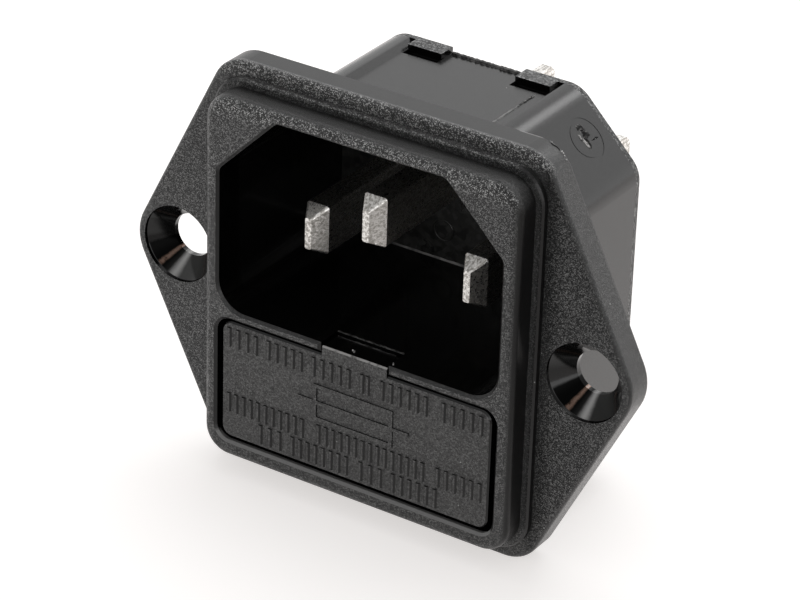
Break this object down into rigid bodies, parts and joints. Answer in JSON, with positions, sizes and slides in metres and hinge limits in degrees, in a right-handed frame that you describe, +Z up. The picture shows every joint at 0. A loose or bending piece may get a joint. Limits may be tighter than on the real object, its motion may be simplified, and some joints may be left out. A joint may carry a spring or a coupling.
{
  "type": "c14 panel inlet socket with fuse drawer",
  "caption": "Screw-on mains appliance inlet: male contact pins in a keyed recess, rear push-on tabs, and a pull-out fuse drawer below.",
  "frame": {"origin": "on the panel's face, halfway between the two mounting screws", "axes": "+X across the inlet, through the screws; +Y into the panel, towards the terminals; +Z up, with the fuse drawer below the socket"},
  "size_m": [0.0436, 0.0267, 0.0338],
  "materials": {
    "housing_plastic": "black moulding, finely spark-eroded on the faces and smooth on the walls",
    "carrier_plastic": "smooth black moulding",
    "cover_plastic": "black moulding, finely spark-eroded",
    "drawer_plastic": "black moulding with a fine matte texture",
    "pin_plating": "tin-plated brass, slightly mottled",
    "spring_metal": "plain phosphor bronze strip",
    "rivet_metal": "turned brass",
    "fuse_cap": "nickel-plated, drawn",
    "fuse_glass": "clear glass tube",
    "fuse_wire": "bare drawn wire"
  },
  "bodies": {
    "inlet": {"housing": "housing_plastic", "contact_carrier": "carrier_plastic", "rear_cover": "cover_plastic", "earth_pin": "pin_plating", "neutral_pin": "pin_plating", "line_pin": "pin_plating", "line_contact": "spring_metal", "load_contact": "spring_metal", "load_tab": "pin_plating", "load_rivet": "rivet_metal"},
    "drawer": {"fuse_drawer": "drawer_plastic", "working_fuse_glass": "fuse_glass", "working_fuse_wire": "fuse_wire", "working_fuse_cap_left": "fuse_cap", "working_fuse_cap_right": "fuse_cap", "spare_fuse_glass": "fuse_glass", "spare_fuse_wire": "fuse_wire", "spare_fuse_cap_left": "fuse_cap", "spare_fuse_cap_right": "fuse_cap"}
  },
  "joints": [
    {"name": "drawer_slide", "type": "slide", "parent": "inlet", "child": "drawer", "axis": [0, -1, 0], "range_m": [0, 0.016]}
  ]
}
